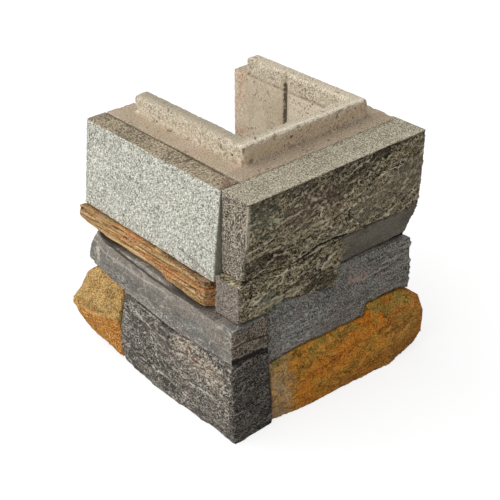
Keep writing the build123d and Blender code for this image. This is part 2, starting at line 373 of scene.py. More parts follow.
def threads(tree, place, size_mm, width, detail=3.0, shift=0.0):
    """Thin wandering lines, where the noise crosses its middle value."""
    cloud = noise(tree, place, size_mm, detail, shift).outputs[0]
    away = add_node(tree, "ShaderNodeMath", {0: cloud, 1: 0.5}, operation="SUBTRACT").outputs[0]
    away = add_node(tree, "ShaderNodeMath", {0: away}, operation="ABSOLUTE").outputs[0]
    return ramp(tree, away, width, width * 0.3)


def broken(tree, place, pattern, size_mm, shift=0.0):
    """Leaves a pattern only in places about size_mm across."""
    return both(tree, pattern, patches(tree, place, size_mm, 0.46, 0.53, shift=shift))


left_face, right_face = (-1, 0, 0), (0, -1, 0)
slab = rough_blank("light_slab", "light_quartzite_slab", grain_mm=0.9)
tree, place, edge = start_relief(slab)
carve(slab, "light_slab", tree, place, edge, [
    (0.8, patches(tree, place, (60, 50, 40), 0.3, 0.7)),
    (0.7, patches(tree, place, (5, 5, 5), 0.3, 0.7, detail=4)),
    (0.6, patches(tree, place, (2.5, 2.5, 2.5), 0.35, 0.6, shift=3)),
    (-0.8, both(tree, edge, patches(tree, place, (5, 5, 5), 0.45, 0.65))),
], facing(tree, [left_face], 0.2))

# Cleft quartzite: dull, with black, white and grey grains close together.
quartzite, tree, place, crest = start_finish("light_quartzite")
sawn_top = stretch(tree, place, Z, bed_mm - 1.2, bed_mm - 0.5)
# The slab's right end face is painted darker grey: painted shade on the end turned away from the lamp.
painted_shade_right_end = stretch(tree, place, Y, -59.4, -60.4)
bedding = broken(tree, place, threads(tree, place, (60, 90, 12), 0.007, detail=4, shift=13), (9, 14, 5))
colour = coats(tree, "#cdcbb9", [
    ("#b4b3a1", patches(tree, place, (40, 30, 14), 0.45, 0.58, shift=7), 0.75),
    ("#dddacb", patches(tree, place, (40, 22, 26), 0.5, 0.62, shift=11), 0.6),
    ("#86857a", bedding, 0.6),
])
colour = speckle(tree, place, colour, "#3f3f37", "#fffef6", 0.8, 1.0)
colour = speckle(tree, place, colour, "#7d7c70", "#f4f2e5", 2.4, 0.35, shift=6)
low_seam = ((-88, -18, 137), (-88, -40, 133), (-88, -58, 128))
top_colour = coat(tree, "#a6977c", "#877a61", patches(tree, place, (30, 30, 30), 0.46, 0.58, shift=2))
top_colour = speckle(tree, place, top_colour, "#584a3a", "#d0c3ad", 1.1, 0.85, shift=3)
top_joint = ((-61, 104, 200), (-61, 30, 200), (-63, -45, 200))
top_chip = ((-70, -8, 200), (-62, -9, 200), (-58, -12, 200))
corner_chip = ((-74, -60, 200), (-65, -52, 200))
top_colour = coats(tree, top_colour, [
    ("#4a3d2d", along(tree, place, top_joint, 1.6, 0.9), 0.75),
    ("#4a3b2c", along(tree, place, top_chip, 1.1, 0.6), 0.8),
    ("#77564a", along(tree, place, corner_chip, 5, 0.9), 0.55),
])
rusty_foot = both(tree, stretch(tree, place, Z, 129, 126, 2), patches(tree, place, (6, 6, 6), 0.5, 0.6))
colour = coats(tree, colour, [
    ("#77766a", along(tree, place, low_seam, 0.8, 0.8, across=X), 0.6),
    ("#b58a58", rusty_foot, 0.5),
    ("#8d8a7b", painted_shade_right_end, 0.85),
    (top_colour, sawn_top, 1.0),
])
finish_material(slab, quartzite, tree, place, colour, grain_mm=1.3, depth_mm=0.8, roughness=0.9)


# Rust strip
# A thin strip of laminated stone, split with its layers level, rusted brown and tan.
# The layers stand out as long ridges, so it looks like old wood.

def chipped_edge(tree, place, edge, size_mm):
    """Where chips about size_mm across have come off the edges."""
    return both(tree, edge, patches(tree, place, size_mm, 0.42, 0.6, shift=3))


rust = rough_blank("rust_strip", "rust_laminated_strip", grain_mm=0.7)
tree, place, edge = start_relief(rust)
notch = ((-92, -60, 124), (-92, -66, 112))
carve(rust, "rust_strip", tree, place, edge, [
    (2.0, patches(tree, place, (60, 190, 7), 0.46, 0.53, detail=2)),
    (1.1, patches(tree, place, (25, 90, 2.6), 0.42, 0.56, detail=2, shift=2)),
    (0.5, patches(tree, place, (6, 20, 1.6), 0.4, 0.6, shift=5)),
    (-1.8, threads(tree, place, (60, 160, 8), 0.02, detail=2, shift=6)),
    (-4.0, along(tree, place, notch, 4, 0.7, across=X)),
    (-2.5, chipped_edge(tree, place, edge, (10, 22, 5))),
], facing(tree, [left_face], 0.3))

# Laminated stone stained by iron: dull, in thin brown, tan and red layers with dark gaps.
rusty, tree, place, crest = start_finish("rusty_laminated_stone")
slab_joint = ((-88, 92, 130), (-88, 16, 126), (-87, -60, 121))
colour = coats(tree, "#b68b5b", [
    ("#8f683f", patches(tree, place, (30, 120, 3), 0.46, 0.54, detail=4), 1.0),
    ("#c47d42", patches(tree, place, (30, 60, 6), 0.5, 0.58, shift=4), 0.8),
    ("#8c8048", patches(tree, place, (20, 24, 5), 0.56, 0.62, shift=9), 0.6),
    ("#b14d2c", patches(tree, place, (16, 40, 2.2), 0.58, 0.65, shift=12), 0.65),
    ("#bd9088", patches(tree, place, (16, 26, 4), 0.61, 0.67, shift=18), 0.7),
    ("#dcbd84", patches(tree, place, (10, 30, 1.2), 0.56, 0.62, shift=15), 0.7),
    ("#55331c", threads(tree, place, (40, 170, 6), 0.012, detail=3, shift=20), 0.8),
    # Painted shade in the hollows of the relief and painted highlight on its crests.
    ("#321c0e", ramp(tree, crest, -0.15, -0.6), 0.9),
    ("#e3c48c", ramp(tree, crest, 0.2, 0.6), 0.45),
    ("#6b2412", along(tree, place, notch, 4.6, 0.7, across=X), 0.85),
    ("#3a2414", along(tree, place, slab_joint, 1.2, 0.6, across=X), 0.7),
])
colour = speckle(tree, place, colour, "#573a20", "#e6c590", 1.3, 0.4)
finish_material(rust, rusty, tree, place, colour, grain_mm=1.3, depth_mm=0.8, roughness=0.85)


# Grey slate strip
# Blue-grey slate of the third course, cleft along its face; it turns the corner and shows its end.
# The cleft face is smooth and dull, with pale bruises along its lower edge.

def bent_place(tree, place, size_mm, shift, ragged):
    """Coordinates in which one unit is size_mm long, bent by noise so that straight borders turn ragged."""
    cloud = noise(tree, place, [part * 0.6 for part in size_mm], 2.0, shift).outputs[1]
    return add_node(tree, "ShaderNodeVectorMath", {0: cloud, 1: [ragged * 2] * 3,
                                                   2: scaled_place(tree, place, size_mm, shift)},
                    operation="MULTIPLY_ADD").outputs[0]


def splinters(tree, place, size_mm, width, shift=0.0, ragged=0.35):
    """Short thin lines in all directions: parts of the rims that chips with the same settings have."""
    bend = bent_place(tree, place, size_mm, shift, ragged)
    cells = add_node(tree, "ShaderNodeTexVoronoi", {"Vector": bend, "Scale": 1.0}, feature="DISTANCE_TO_EDGE")
    line = ramp(tree, cells.outputs["Distance"], width, width * 0.4)
    return broken(tree, place, line, [part * 0.7 for part in size_mm], shift)


def turned_end(tree, place):
    """The end of a left-hand strip, which turns the corner and shows on the right face."""
    face_mm, end_mm = -90.3, -91.6
    return stretch(tree, place, Y, face_mm, end_mm)


def knocked_edge(tree, place):
    """Pale bruises along the edges."""
    return both(tree, stored(tree, "edge"), patches(tree, place, (4, 8, 3), 0.5, 0.58, shift=5))


grey_strip = rough_blank("grey_slate_strip", "grey_slate_strip_split", grain_mm=0.9)
tree, place, edge = start_relief(grey_strip)
rust_joint = ((-93, 84, 106), (-94, 10, 101), (-94, -69, 100))
foot_joint = ((-96, 50, 69), (-96, 10, 67), (-96, -22, 64), (-96, -85, 67))
carve(grey_strip, "grey_slate_strip", tree, place, edge, [
    (0.8, patches(tree, place, (40, 60, 24), 0.44, 0.54)),
    (0.3, patches(tree, place, (14, 20, 12), 0.46, 0.54, shift=2)),
    (0.3, patches(tree, place, (4, 5, 4), 0.3, 0.7, shift=4)),
    (-2.2, along(tree, place, foot_joint, 1.8, 0.5, across=X)),
    (-1.6, chipped_edge(tree, place, edge, (8, 12, 5))),
], facing(tree, [left_face, right_face], 0.4))

# Cleft slate: an even, soft grey, with pale flecks where it is bruised.
grey_slate, tree, place, crest = start_finish("grey_slate")
on_end = turned_end(tree, place)
low_half = stretch(tree, place, Z, 88, 74, 5)
rough_places = both(tree, low_half, patches(tree, place, (24, 34, 14), 0.4, 0.54, shift=21))
upper_seam = ((-93, 80, 96), (-94, 30, 94), (-94, -10, 96))
flecks = patches(tree, place, (2.4, 4, 1.6), 0.55, 0.6, shift=3, detail=5)
colour = coats(tree, "#7d7a72", [
    ("#676561", patches(tree, place, (24, 40, 18), 0.45, 0.58), 1.0),
    ("#88766a", patches(tree, place, (18, 26, 14), 0.52, 0.64, shift=8), 0.5),
    # Painted light: the slope under the rust strip is painted lighter to offset the shade under its overhang.
    ("#93887d", along(tree, place, rust_joint, 9, 0.8, across=X), 0.6),
    ("#b9ad9c", along(tree, place, upper_seam, 0.9, 1.1, across=X), 0.7),
    ("#d3ccbe", both(tree, rough_places, flecks), 0.9),
    ("#d3ccbe", splinters(tree, place, (9, 12, 7), 0.035), 0.75),
    ("#4c4842", splinters(tree, place, (14, 20, 9), 0.04, shift=5), 0.6),
    ("#cbc4b6", knocked_edge(tree, place), 0.7),
    ("#cfc7b6", along(tree, place, ((-97, 84, 97), (-97, 83, 84)), 5, 0.8), 0.75),
    # Painted shade in the hollows of the relief and painted highlight on its crests.
    ("#2e2a26", ramp(tree, crest, -0.12, -0.5), 0.85),
    ("#c9c2b5", ramp(tree, crest, 0.12, 0.4), 0.6),
])
grainy = ramp(tree, rough_places, 0.0, 1.0, 0.35, 0.8)
colour = speckle(tree, place, colour, "#454240", "#bdb8ad", 0.9, grainy)
end_colour = coat(tree, "#7f6f60", "#4b4036", patches(tree, place, (20, 20, 3), 0.45, 0.55, detail=4))
end_colour = coat(tree, end_colour, "#b6a999", splinters(tree, place, (9, 9, 4), 0.04, shift=2), 0.7)
end_colour = speckle(tree, place, end_colour, "#14100c", "#cdbfac", 0.9, 0.7)
end_crack = ((-97, -92, 85), (-80, -92, 86), (-60, -92, 82))
end_joint = ((-101, -92, 73), (-79, -92, 71.5), (-60, -92, 68.5))
end_colour = coats(tree, end_colour, [
    ("#1f1a16", along(tree, place, end_crack, 0.9, 0.8, across=Y), 0.8),
    ("#120f0d", along(tree, place, end_joint, 2.6, 0.6, across=Y), 0.95),
])
colour = coats(tree, colour, [
    ("#2b231c", along(tree, place, rust_joint, 1.3, 0.8, across=X), 0.8),
    ("#211d1a", along(tree, place, foot_joint, 1.4, 0.9, across=X), 0.85),
    (end_colour, on_end, 1.0),
])
finish_material(grey_strip, grey_slate, tree, place, colour, grain_mm=1.3, depth_mm=0.5, roughness=0.75)


# Orange end block
# An iron-stained sandstone lump at the far lower end of the left face, broken to a blunt ridge.
# Its upper facet is tan and its lower one bright orange.

def chips(tree, place, size_mm, shift=0.0, ragged=0.35):
    """Broken facets about size_mm across, each at its own level and tilt: between 0 and 1."""
    bend = bent_place(tree, place, size_mm, shift, ragged)
    cells = add_node(tree, "ShaderNodeTexVoronoi", {"Vector": bend, "Scale": 1.0})
    from_middle = add_node(tree, "ShaderNodeVectorMath", {0: bend, 1: cells.outputs["Position"]},
                           operation="SUBTRACT").outputs[0]
    tilt = add_node(tree, "ShaderNodeVectorMath", {0: cells.outputs["Color"], 1: (0.5, 0.5, 0.5)},
                    operation="SUBTRACT").outputs[0]
    slope = add_node(tree, "ShaderNodeVectorMath", {0: from_middle, 1: tilt}, operation="DOT_PRODUCT")
    level = add_node(tree, "ShaderNodeSeparateXYZ", {0: cells.outputs["Color"]}).outputs[1]
    level = ramp(tree, level, 0.0, 1.0, 0.25, 0.75)
    return add_node(tree, "ShaderNodeMath", {0: slope.outputs["Value"], 1: level}, operation="ADD",
                    use_clamp=True).outputs[0]


end_block = rough_blank("orange_end_block", "orange_sandstone_end", grain_mm=0.9)
tree, place, edge = start_relief(end_block)
carve(end_block, "orange_end_block", tree, place, edge, [
    (1.2, chips(tree, place, (18, 18, 14))),
    (0.8, chips(tree, place, (6, 6, 6), shift=2)),
    (0.7, patches(tree, place, (2.5, 2.5, 2.5), 0.3, 0.7, shift=3)),
    (-2.0, chipped_edge(tree, place, edge, (8, 8, 8))),
], facing(tree, [left_face], 0.4))

# Iron-stained sandstone, broken: dull and grainy, tan over the ridge and orange under it.
end_stain, tree, place, crest = start_finish("tan_and_orange_sandstone")
under_crest = stretch(tree, place, Z, 42, 38, 3)
lower = coat(tree, "#cd7c26", "#df983a", patches(tree, place, (10, 24, 5), 0.48, 0.58, shift=8))
lower = coat(tree, lower, "#a85a20", patches(tree, place, (5, 10, 3), 0.54, 0.62, shift=6), 0.8)
rusty_edge = both(tree, stored(tree, "edge"), patches(tree, place, (6, 6, 6), 0.45, 0.6))
crest_line = ((-105, 107, 36), (-105, 80, 35), (-105, 59, 43), (-105, 46, 45))
colour = coats(tree, "#b4955f", [
    ("#987748", patches(tree, place, (10, 10, 8), 0.45, 0.6, shift=3), 1.0),
    ("#87743f", stretch(tree, place, Y, 58, 50, 5), 0.6),
    (lower, under_crest, 1.0),
    ("#f0c47c", along(tree, place, crest_line, 2.2, 0.9, across=X), 0.8),
    ("#b24c26", rusty_edge, 0.6),
    # Painted shade in the hollows of the relief and painted highlight on its crests.
    ("#5b3418", ramp(tree, crest, -0.12, -0.5), 0.8),
    ("#eec27a", ramp(tree, crest, 0.12, 0.45), 0.7),
])
colour = speckle(tree, place, colour, "#4f2c0c", "#f7cb7e", 0.8, 0.75)
finish_material(end_block, end_stain, tree, place, colour, grain_mm=1.5, depth_mm=0.9, roughness=0.85)


# Dark slate strip
# The deep strip of dark slate at the foot of the left face, cleft in thin plates.
# Its end turns the corner and shows the edges of its layers, nearly black.

dark_strip = rough_blank("dark_slate_strip", "dark_slate_strip_split", grain_mm=0.9)
tree, place, edge = start_relief(dark_strip)
crust_line = ((-101, -37, 60), (-101, -58, 52), (-101, -76, 50))
crust = along(tree, place, crust_line, 12, 0.8, across=X)
scratches = [((-99, 38, 21), (-99, -10, 19), (-99, -53, 12)), ((-99, 30, 60), (-99, 10, 55), (-99, -11, 50)),
             ((-99, -20, 36), (-99, -50, 30), (-99, -80, 33)), ((-99, 6, 46), (-99, 2, 36), (-99, -4, 29))]
carve(dark_strip, "dark_slate_strip", tree, place, edge, [
    (0.8, patches(tree, place, (60, 80, 25), 0.47, 0.53)),
    (0.7, patches(tree, place, (25, 35, 8), 0.46, 0.54, shift=2)),
    (0.6, patches(tree, place, (6, 8, 3), 0.4, 0.6, shift=4)),
], facing(tree, [left_face, right_face], 0.4), placed=[
    (1.2, both(tree, crust, chips(tree, place, (8, 8, 5), shift=2))),
    (-1.6, chipped_edge(tree, place, edge, (8, 12, 5))),
    (-0.7, threads(tree, place, (60, 90, 18), 0.008, detail=4, shift=9)),
])

# Dark slate, cleft rough: pale flecks and scratches on near-black plates, and a brown crust.
dark_slate, tree, place, crest = start_finish("dark_slate")
on_end = turned_end(tree, place)
crust = along(tree, place, crust_line, 12, 1.0, across=X)
rough_places = patches(tree, place, (24, 30, 14), 0.42, 0.54, shift=21)
crust_flecks = patches(tree, place, (2.0, 2.8, 1.6), 0.52, 0.58, shift=7, detail=5)
flecks = patches(tree, place, (1.6, 2.6, 1.3), 0.56, 0.6, shift=3, detail=4)
colour = coats(tree, "#524e47", [
    ("#34312c", patches(tree, place, (18, 30, 14), 0.45, 0.56), 1.0),
    ("#6e6058", patches(tree, place, (18, 26, 12), 0.52, 0.62, shift=8), 0.5),
    ("#484643", stretch(tree, place, Y, 8, 30, 10), 0.55),
    ("#84664f", crust, 0.6),
    ("#e2d6bf", both(tree, crust, crust_flecks), 0.9),
    ("#dcd4c6", both(tree, rough_places, flecks), 0.95),
    ("#d8d0c2", splinters(tree, place, (8, 11, 7), 0.035), 0.85),
    ("#24211f", splinters(tree, place, (14, 18, 9), 0.05, shift=5), 0.8),
])
for scratch in scratches:
    scratch_line = along(tree, place, scratch, 0.8, 1.3, across=X)
    colour = coat(tree, colour, "#d6cebf", broken(tree, place, scratch_line, (5, 6, 5)), 0.85)
colour = coats(tree, colour, [
    ("#cfc6b7", knocked_edge(tree, place), 0.8),
    # Painted shade in the hollows of the relief and painted highlight on its crests.
    ("#221f1c", ramp(tree, crest, -0.12, -0.5), 0.9),
    ("#cdc4b5", ramp(tree, crest, 0.15, 0.5), 0.7),
])
grainy = ramp(tree, rough_places, 0.0, 1.0, 0.35, 0.7)
colour = speckle(tree, place, colour, "#171513", "#b3aa9c", 0.9, grainy)
layer_edges = broken(tree, place, threads(tree, place, (90, 50, 7), 0.008, detail=4, shift=4), (9, 9, 4))
end_colour = coats(tree, "#48423d", [
    ("#211d1a", patches(tree, place, (24, 24, 4), 0.45, 0.55, detail=4), 1.0),
    ("#b0a89b", layer_edges, 0.85),
    ("#a39b8f", splinters(tree, place, (12, 12, 4), 0.05, shift=3), 0.8),
])
end_colour = speckle(tree, place, end_colour, "#060505", "#a8a093", 0.9, 0.6)
end_colour = coat(tree, end_colour, "#0f0d0c", along(tree, place, end_joint, 3.0, 0.6, across=Y), 0.9)
colour = coat(tree, colour, end_colour, on_end)
finish_material(dark_strip, dark_slate, tree, place, colour, grain_mm=1.3, depth_mm=0.8, roughness=0.75)


# Brown split slab
# The tall slab at the top of the right face, split rough through a brown schist.
# The split shows plates, small steps and broken edges, their paleness painted as highlight.

def along_split(tree, place):
    """Coordinates turned so that their level lies along the rising layers of the schist."""
    rise = math.radians(14)
    return add_node(tree, "ShaderNodeVectorRotate", {"Vector": place, "Axis": (0.0, 1.0, 0.0),
                                                     "Angle": rise}).outputs[0]


def split_chips(tree, layers):
    """The plates of the split, and the smaller flakes on them."""
    return chips(tree, layers, (26, 26, 10), shift=3), chips(tree, layers, (10, 10, 4), shift=5)


brown_slab = rough_blank("brown_split_slab", "brown_schist_slab", grain_mm=0.8)
tree, place, edge = start_relief(brown_slab)
plates, flakes = split_chips(tree, along_split(tree, place))
under_top = stretch(tree, place, Z, bed_mm - 0.4, bed_mm - 1.5)
highlit_ridge = ((-84, -90, 151), (-62, -90, 154), (-39, -90, 157), (2, -90, 162), (24, -90, 164))
low_crack = ((-45, -90, 131), (-39, -90, 132), (-8, -90, 140), (20, -90, 138))
dark_hollows = ((2, -90, 178), (12, -90, 176), (30, -90, 184), (46, -90, 190), (64, -90, 196))
carve(brown_slab, "brown_split_slab", tree, place, edge, [
    (2.0, plates),
    (1.2, flakes),
    (0.8, patches(tree, place, (3, 3, 2.4), 0.35, 0.65, shift=7)),
], both(tree, facing(tree, [right_face], 0.25), under_top), placed=[
    (1.0, broken(tree, place, along(tree, place, highlit_ridge, 2.8, 1.2, across=Y), (8, 8, 5))),
    (-1.8, along(tree, place, low_crack, 1.6, 0.7, across=Y)),
    (-1.4, along(tree, place, dark_hollows, 6, 1.1, across=Y)),
    (-1.6, chipped_edge(tree, place, edge, (8, 8, 5))),
])


def split_paint(tree, place):
    """The split schist's brown, flecked, with painted shade and painted highlight on its facets and rims."""
    layers = along_split(tree, place)
    plates, flakes = split_chips(tree, layers)
    flecks = patches(tree, layers, (4, 4, 1.2), 0.55, 0.6, detail=3, shift=31)
    colour = coats(tree, "#72603f", [
        ("#524129", patches(tree, place, (22, 22, 10), 0.46, 0.55), 1.0),
        ("#66684f", patches(tree, place, (24, 24, 14), 0.5, 0.6, shift=4), 0.7),
        # Painted shade on the low side of each facet and painted highlight on its high side.
        ("#2e2113", ramp(tree, plates, 0.5, 0.34), 0.8),
        ("#a08e69", ramp(tree, plates, 0.6, 0.76), 0.4),
        ("#2a1e12", ramp(tree, flakes, 0.46, 0.32), 0.65),
        ("#ac9a72", ramp(tree, flakes, 0.66, 0.8), 0.25),
        ("#cbb98f", broken(tree, place, flecks, (20, 20, 10), shift=33), 0.75),
    ])
    colour = speckle(tree, place, colour, "#120b05", "#e2d3ad", 0.8, 0.85)
    return coats(tree, colour, [
        ("#120c06", splinters(tree, layers, (16, 16, 6), 0.06, shift=9), 0.85),
        ("#efe2c2", splinters(tree, layers, (8, 8, 4), 0.045, shift=5), 0.65),
        # Painted highlight along the rims of the plates.
        ("#f2e6c8", splinters(tree, layers, (26, 26, 10), 0.03, shift=3), 0.95),
    ])


# Split schist: flecked facets, dark hollows partly stained and partly painted shade, and rims painted as
# highlights.
schist, tree, place, crest = start_finish("brown_schist")
colour = split_paint(tree, place)
green_patch = ((-74, -90, 192), (-60, -90, 180))
pink_patch = ((-36, -90, 176), (6, -90, 176))
pale_plate = ((38, -90, 160), (96, -90, 168))
under_edge = both(tree, stretch(tree, place, Z, bed_mm - 13, bed_mm - 5, 6),
                  patches(tree, place, (20, 20, 8), 0.38, 0.5, shift=16))
shaded_facet_under_ridge = ((-86, -90, 139), (-66, -90, 143), (-50, -90, 144))
ridge_highlight = broken(tree, place, along(tree, place, highlit_ridge, 1.5, 1.7, across=Y), (5, 5, 4))
saw_marks = patches(tree, place, (1.6, 24, 1.6), 0.5, 0.6, detail=2, shift=19)
top_joint = ((-60, -62, 200), (20, -62, 200), (77, -62, 200), (107, -62, 200))
top_colour = coats(tree, "#a9a189", [
    ("#97907a", patches(tree, place, (16, 30, 16), 0.45, 0.6, shift=17), 1.0),
    ("#c6bda6", saw_marks, 0.5),
    # Painted light: the top is lighter towards its outer edge, out of the shadow of the concrete tongue.
    ("#bfb49d", stretch(tree, place, Y, -82, -90, 2), 0.7),
    ("#53452f", along(tree, place, top_joint, 1.5, 1.1), 0.6),
])
top_colour = speckle(tree, place, top_colour, "#5a5240", "#e0d8c2", 1.0, 0.95, shift=3)
left_end = coats(tree, "#867b6b", [
    ("#5f5445", patches(tree, place, (10, 6, 40), 0.45, 0.56), 1.0),
    ("#9d907d", patches(tree, place, (10, 3, 30), 0.54, 0.66, shift=4), 0.5),
    ("#c9bda6", splinters(tree, place, (7, 7, 12), 0.045, shift=2), 0.75),
    ("#3b3025", splinters(tree, place, (9, 9, 16), 0.06, shift=7), 0.7),
])
left_end = speckle(tree, place, left_end, "#2a2219", "#dcd2be", 0.9, 0.95)
end_foot = ((-78, -62, 121), (-78, -90, 123))
pale_corner = ((-79, -90, 196), (-80, -89, 160), (-80, -87, 128))
left_end = coats(tree, left_end, [
    ("#19130d", along(tree, place, end_foot, 3, 0.7), 0.9),
    ("#cdc1aa", along(tree, place, pale_corner, 1.3, 1.3, across=X), 0.75),
])
on_left_end = stretch(tree, place, X, -77, -78.6)
colour = coats(tree, colour, [
    ("#6c7461", along(tree, place, green_patch, 14, 1.0, across=Y), 0.4),
    ("#94796a", along(tree, place, pink_patch, 11, 1.0, across=Y), 0.35),
    ("#958873", along(tree, place, pale_plate, 13, 1.0, across=Y), 0.4),
    ("#34281c", under_edge, 0.6),
    # Darker in the hollows: partly iron stain, partly painted shade.
    ("#33261a", along(tree, place, dark_hollows, 7, 1.2, across=Y), 0.5),
    # Painted shade on the facet under the ridge.
    ("#3a2b1d", along(tree, place, shaded_facet_under_ridge, 8, 1.0, across=Y), 0.65),
    # Painted highlight along the ridge.
    ("#cdbd98", ridge_highlight, 0.8),
    # Painted shade in the hollows of the relief and painted highlight on its crests.
    ("#1f1710", ramp(tree, crest, -0.2, -0.6), 0.8),
    ("#e0d2b6", ramp(tree, crest, 0.2, 0.5), 0.8),
    ("#140e08", along(tree, place, low_crack, 1.0, 1.0, across=Y), 0.85),
    (top_colour, stretch(tree, place, Z, bed_mm - 1.2, bed_mm - 0.5), 1.0),
    (left_end, both(tree, on_left_end, stretch(tree, place, Z, bed_mm, bed_mm - 1)), 1.0),
])
finish_material(brown_slab, schist, tree, place, colour, grain_mm=1.4, depth_mm=1.0, roughness=0.8)


# Second course strip
# The strip under the brown slab: the same brown split at the corner, smooth grey at its far end.
# The grey end is broken back towards its lower edge.

def ring(tree, place, middle_mm, radii_mm, width, across):
    """A ragged ring round a middle, with a radius for each axis; across is an axis that doesn't count."""
    scale = Vector([0.0 if axis == across else 1000.0 / radius for axis, radius in enumerate(radii_mm)])
    middle = Vector(middle_mm) * scale / -1000
    out = add_node(tree, "ShaderNodeVectorMath", {0: place, 1: scale, 2: middle}, operation="MULTIPLY_ADD")
    out = add_node(tree, "ShaderNodeVectorMath", {0: out.outputs[0]}, operation="LENGTH").outputs["Value"]
    raggedness = 0.15
    cloud = noise(tree, place, (8, 8, 8)).outputs[0]
    cloud = ramp(tree, cloud, 0.25, 0.75, -1 - raggedness, -1 + raggedness)
    out = add_node(tree, "ShaderNodeMath", {0: out, 1: cloud}, operation="ADD").outputs[0]
    out = add_node(tree, "ShaderNodeMath", {0: out}, operation="ABSOLUTE").outputs[0]
    return ramp(tree, out, width, width * 0.4)


second_strip = rough_blank("second_course_strip", "second_course_schist", grain_mm=0.8)
tree, place, edge = start_relief(second_strip)
rough_end = stretch(tree, place, X, 26, 14, 8)
shell_middle, shell_radii = (-16, -90, 108), (32, 1, 15)
foot_gap = ((16, -92, 109), (40, -92, 107.5), (70, -92, 106), (108, -92, 104))
plates, flakes = [both(tree, rough_end, ramp(tree, level, 0.0, 1.0, -0.6, 0.4))
                  for level in split_chips(tree, along_split(tree, place))]
carve(second_strip, "second_course_strip", tree, place, edge, [
    (0.6, patches(tree, place, (3, 3, 2.4), 0.4, 0.6, shift=14)),
], facing(tree, [right_face], 0.25), placed=[
    (1.8, plates),
    (1.1, flakes),
    (0.5, ring(tree, place, shell_middle, shell_radii, 0.13, across=Y)),
    (-3.5, along(tree, place, foot_gap, 2.2, 0.5, across=Y)),
    (-1.6, chipped_edge(tree, place, edge, (8, 8, 5))),
])

# The same schist, split at one end, and cleft smooth and grey at the other.
half_smooth, tree, place, crest = start_finish("half_smooth_schist")
rough_end = stretch(tree, place, X, 26, 14, 8)
colour = split_paint(tree, place)
grey_patch = ((-64, -90, 112), (-52, -90, 106))
dark_middle = ((-14, -90, 112), (2, -90, 108))
colour = coats(tree, colour, [
    ("#838a7b", along(tree, place, grey_patch, 7, 1.1, across=Y), 0.4),
    ("#2e2419", along(tree, place, dark_middle, 9, 1.1, across=Y), 0.65),
])
for height_mm in (97, 104):
    layer = along(tree, place, ((-85, -90, height_mm), (-58, -90, height_mm + 4), (-32, -90, height_mm + 3)),
                  1.2, 1.6, across=Y)
    colour = coat(tree, colour, "#cdbd98", broken(tree, place, layer, (5, 5, 4)), 0.8)
shell_line = ring(tree, place, shell_middle, shell_radii, 0.05, across=Y)
shell_line = broken(tree, place, shell_line, (6, 6, 5), shift=2)
shell_shade = ring(tree, place, shell_middle, (27, 1, 11), 0.12, across=Y)
colour = coats(tree, colour, [
    ("#c9bb9f", shell_line, 0.7),
    ("#1d150e", shell_shade, 0.55),
])
smooth = coat(tree, "#8c8474", "#736b5d", patches(tree, place, (30, 30, 12), 0.42, 0.6, shift=3))
green_corner = ((24, -90, 124), (30, -90, 114))
smooth = coat(tree, smooth, "#5d6257", along(tree, place, green_corner, 7, 1.0, across=Y), 0.5)
smooth = speckle(tree, place, smooth, "#4d4942", "#a19b91", 0.9, 0.55)
colour = coat(tree, smooth, colour, rough_end)
left_end = coat(tree, "#7d7267", "#c3b7a9", splinters(tree, place, (9, 9, 9), 0.04, shift=2), 0.8)
left_end = speckle(tree, place, left_end, "#39312a", "#bfb3a6", 0.9, 0.9)
strip_foot = ((-86, -56, 88), (-86, -80, 91), (-86, -90, 92))
left_end = coat(tree, left_end, "#17120e", along(tree, place, strip_foot, 1.8, 0.7, across=X), 0.85)
colour = coats(tree, colour, [
    # Painted shade in the hollows of the relief and painted highlight on its crests.
    ("#1f1710", ramp(tree, crest, -0.15, -0.55), 0.8),
    ("#d9cbb0", both(tree, rough_end, ramp(tree, crest, 0.2, 0.55)), 0.7),
    ("#0f0c09", along(tree, place, foot_gap, 2.0, 0.6, across=Y), 0.95),
    (left_end, stretch(tree, place, X, -85, -86.6), 1.0),
])
finish_material(second_strip, half_smooth, tree, place, colour, grain_mm=1.4, depth_mm=0.9, roughness=0.8)


# Third course strip
# Grey slate of the third course of the right face, cleft smooth, with its layers open at the far end.
# It is cut round the step of the strip above it.

third_strip = rough_blank("third_course_strip", "third_course_slate", grain_mm=0.9)
tree, place, edge = start_relief(third_strip)
layered_end = stretch(tree, place, X, 40, 60, 6)
open_layers = patches(tree, place, (60, 60, 5), 0.45, 0.55, detail=2, shift=7)
open_layers = both(tree, layered_end, ramp(tree, open_layers, 0.0, 1.0, -0.6, 0.4))
carve(third_strip, "third_course_strip", tree, place, edge, [
    (0.7, patches(tree, place, (50, 50, 16), 0.45, 0.55, shift=5)),
    (0.5, patches(tree, place, (4, 4, 2), 0.4, 0.6, shift=9)),
], facing(tree, [right_face], 0.3), placed=[
    (1.4, open_layers),
    (-1.6, chipped_edge(tree, place, edge, (8, 8, 5))),
])

# Cleft grey slate: dull, with pale bruises, and the edges of its layers at the far end.
layered_slate, tree, place, crest = start_finish("layered_grey_slate")
layered_end = stretch(tree, place, X, 40, 60, 6)
colour = coats(tree, "#8e8981", [
    ("#6e6b65", patches(tree, place, (30, 30, 12), 0.45, 0.58, shift=2), 1.0),
    ("#857470", patches(tree, place, (20, 20, 10), 0.5, 0.62, shift=8), 0.6),
    ("#5f6a66", patches(tree, place, (18, 18, 9), 0.54, 0.64, shift=11), 0.6),
])
pale_bruises = [((-40, -90, 80), (-28, -90, 80), (-14, -90, 75)),
                ((-38, -90, 64), (-26, -90, 60), (-18, -90, 60))]
flecks = patches(tree, place, (5, 5, 1.8), 0.51, 0.58, shift=4, detail=5)
for bruise in pale_bruises:
    bruised = along(tree, place, bruise, 7, 1.2, across=Y)
    colour = coat(tree, colour, "#ccd0ca", both(tree, bruised, flecks), 0.9)
pink_bruise = ((32, -90, 92), (40, -90, 90), (48, -90, 90))
pale_layers = both(tree, layered_end, threads(tree, place, (80, 80, 8), 0.008))
